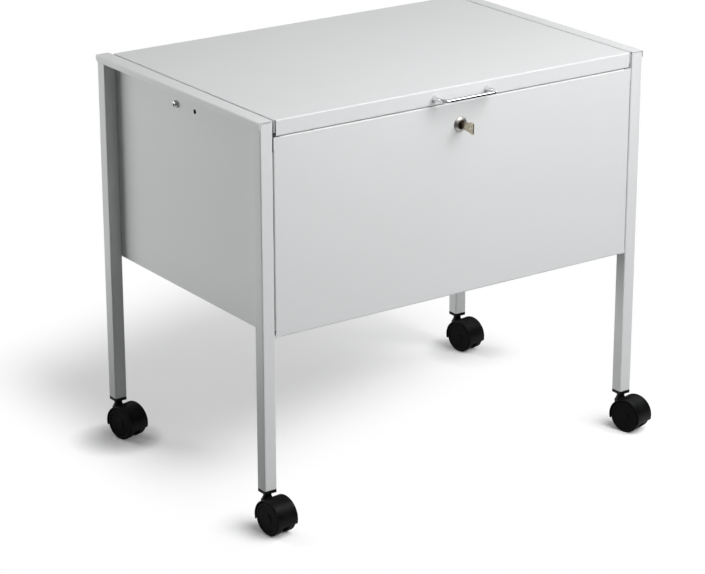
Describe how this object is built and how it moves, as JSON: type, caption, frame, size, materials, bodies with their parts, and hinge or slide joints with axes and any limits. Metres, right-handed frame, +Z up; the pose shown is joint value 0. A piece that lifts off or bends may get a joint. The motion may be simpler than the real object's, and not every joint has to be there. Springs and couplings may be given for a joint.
{
  "type": "suspension file trolley",
  "caption": "Sheet-steel suspension file box between square tube legs on twin-wheel castors, with a hinged, lockable lid, bow handle and slotted lid stays.",
  "frame": {"origin": "on the floor, midway between the four legs", "axes": "+X to the right seen from the front, +Y from front to back, +Z up"},
  "size_m": [0.6971, 0.482, 0.6],
  "materials": {
    "grey_powder_coat": "fine-textured light grey powder coat, satin",
    "zinc_plated_steel": "bright zinc plate",
    "chrome": "polished chrome",
    "nickel_key": "nickel-plated brass",
    "buffer_rubber": "matte",
    "castor_black": "moulded nylon, low sheen"
  },
  "bodies": {
    "frame": {"leg_front_left": "grey_powder_coat", "leg_front_right": "grey_powder_coat", "leg_back_left": "grey_powder_coat", "leg_back_right": "grey_powder_coat", "side_panel_left": "grey_powder_coat", "side_panel_right": "grey_powder_coat", "front_panel": "grey_powder_coat", "back_panel": "grey_powder_coat", "floor_pan": "grey_powder_coat", "file_rail_front": "zinc_plated_steel", "file_rail_back": "zinc_plated_steel", "frame_screws": "zinc_plated_steel", "lid_buffers": "buffer_rubber", "hinge_leaf_body": "zinc_plated_steel", "hinge_pin": "zinc_plated_steel", "stay_screw_left": "chrome", "stay_screw_right": "chrome", "stay_spacers": "zinc_plated_steel", "stay_nuts": "zinc_plated_steel", "lock_barrel": "chrome", "lock_nut": "zinc_plated_steel", "castor_front_left_socket": "castor_black", "castor_front_right_socket": "castor_black", "castor_back_left_socket": "castor_black", "castor_back_right_socket": "castor_black"},
    "lid_unit": {"lid": "grey_powder_coat", "handle": "chrome", "handle_screws": "zinc_plated_steel", "hinge_leaf_lid": "zinc_plated_steel", "lock_strike": "grey_powder_coat", "stay_rivets": "zinc_plated_steel"},
    "stay_left": {"stay_arm_left": "zinc_plated_steel"},
    "stay_right": {"stay_arm_right": "zinc_plated_steel"},
    "lock_turning": {"lock_plug": "chrome", "lock_cam": "zinc_plated_steel", "cam_screw": "zinc_plated_steel"},
    "key_unit": {"key": "nickel_key"},
    "castor_front_left": {"castor_front_left_stem": "zinc_plated_steel", "castor_front_left_hood": "castor_black", "castor_front_left_axle": "zinc_plated_steel"},
    "front_left_wheel_left": {"castor_front_left_wheel_left": "castor_black"},
    "front_left_wheel_right": {"castor_front_left_wheel_right": "castor_black"},
    "castor_front_right": {"castor_front_right_stem": "zinc_plated_steel", "castor_front_right_hood": "castor_black", "castor_front_right_axle": "zinc_plated_steel"},
    "front_right_wheel_left": {"castor_front_right_wheel_left": "castor_black"},
    "front_right_wheel_right": {"castor_front_right_wheel_right": "castor_black"},
    "castor_back_left": {"castor_back_left_stem": "zinc_plated_steel", "castor_back_left_hood": "castor_black", "castor_back_left_axle": "zinc_plated_steel"},
    "back_left_wheel_left": {"castor_back_left_wheel_left": "castor_black"},
    "back_left_wheel_right": {"castor_back_left_wheel_right": "castor_black"},
    "castor_back_right": {"castor_back_right_stem": "zinc_plated_steel", "castor_back_right_hood": "castor_black", "castor_back_right_axle": "zinc_plated_steel"},
    "back_right_wheel_left": {"castor_back_right_wheel_left": "castor_black"},
    "back_right_wheel_right": {"castor_back_right_wheel_right": "castor_black"}
  },
  "joints": [
    {"name": "lid_hinge", "type": "hinge", "parent": "frame", "child": "lid_unit", "pos_m": [0, 0.2157, 0.5945], "axis": [-1, 0, 0], "range_deg": [0, 85]},
    {"name": "stay_left_pivot", "type": "hinge", "parent": "lid_unit", "child": "stay_left", "pos_m": [-0.30745, 0.02802, 0.588], "axis": [-1, 0, 0], "range_deg": [-42.5, 0]},
    {"name": "stay_right_pivot", "type": "hinge", "parent": "lid_unit", "child": "stay_right", "pos_m": [0.30745, 0.02802, 0.588], "axis": [-1, 0, 0], "range_deg": [-42.5, 0]},
    {"name": "lock_turn", "type": "hinge", "parent": "frame", "child": "lock_turning", "pos_m": [0, -0.22, 0.543], "axis": [0, 1, 0], "range_deg": [0, 90]},
    {"name": "key_pull", "type": "slide", "parent": "lock_turning", "child": "key_unit", "axis": [0, -1, 0], "range_m": [0, 0.024]},
    {"name": "front_left_swivel", "type": "hinge", "parent": "frame", "child": "castor_front_left", "pos_m": [-0.325, -0.21, 0.057], "axis": [0, 0, 1], "continuous": true},
    {"name": "front_left_left_spin", "type": "hinge", "parent": "castor_front_left", "child": "front_left_wheel_left", "pos_m": [-0.32268, -0.22886, 0.025], "axis": [0.9925, 0.1219, 0], "continuous": true},
    {"name": "front_left_right_spin", "type": "hinge", "parent": "castor_front_left", "child": "front_left_wheel_right", "pos_m": [-0.32268, -0.22886, 0.025], "axis": [0.9925, 0.1219, 0], "continuous": true},
    {"name": "front_right_swivel", "type": "hinge", "parent": "frame", "child": "castor_front_right", "pos_m": [0.325, -0.21, 0.057], "axis": [0, 0, 1], "continuous": true},
    {"name": "front_right_left_spin", "type": "hinge", "parent": "castor_front_right", "child": "front_right_wheel_left", "pos_m": [0.32992, -0.22835, 0.025], "axis": [0.9659, 0.2588, 0], "continuous": true},
    {"name": "front_right_right_spin", "type": "hinge", "parent": "castor_front_right", "child": "front_right_wheel_right", "pos_m": [0.32992, -0.22835, 0.025], "axis": [0.9659, 0.2588, 0], "continuous": true},
    {"name": "back_left_swivel", "type": "hinge", "parent": "frame", "child": "castor_back_left", "pos_m": [-0.325, 0.21, 0.057], "axis": [0, 0, 1], "continuous": true},
    {"name": "back_left_left_spin", "type": "hinge", "parent": "castor_back_left", "child": "back_left_wheel_left", "pos_m": [-0.3204, 0.19156, 0.025], "axis": [0.9703, 0.2419, 0], "continuous": true},
    {"name": "back_left_right_spin", "type": "hinge", "parent": "castor_back_left", "child": "back_left_wheel_right", "pos_m": [-0.3204, 0.19156, 0.025], "axis": [0.9703, 0.2419, 0], "continuous": true},
    {"name": "back_right_swivel", "type": "hinge", "parent": "frame", "child": "castor_back_right", "pos_m": [0.325, 0.21, 0.057], "axis": [0, 0, 1], "continuous": true},
    {"name": "back_right_left_spin", "type": "hinge", "parent": "castor_back_right", "child": "back_right_wheel_left", "pos_m": [0.3283, 0.19129, 0.025], "axis": [0.9848, 0.1736, 0], "continuous": true},
    {"name": "back_right_right_spin", "type": "hinge", "parent": "castor_back_right", "child": "back_right_wheel_right", "pos_m": [0.3283, 0.19129, 0.025], "axis": [0.9848, 0.1736, 0], "continuous": true}
  ],
  "couplings": [
    {"joint": "stay_left_pivot", "follows": "lid_hinge", "ratio": -0.5},
    {"joint": "stay_right_pivot", "follows": "lid_hinge", "ratio": -0.5}
  ]
}
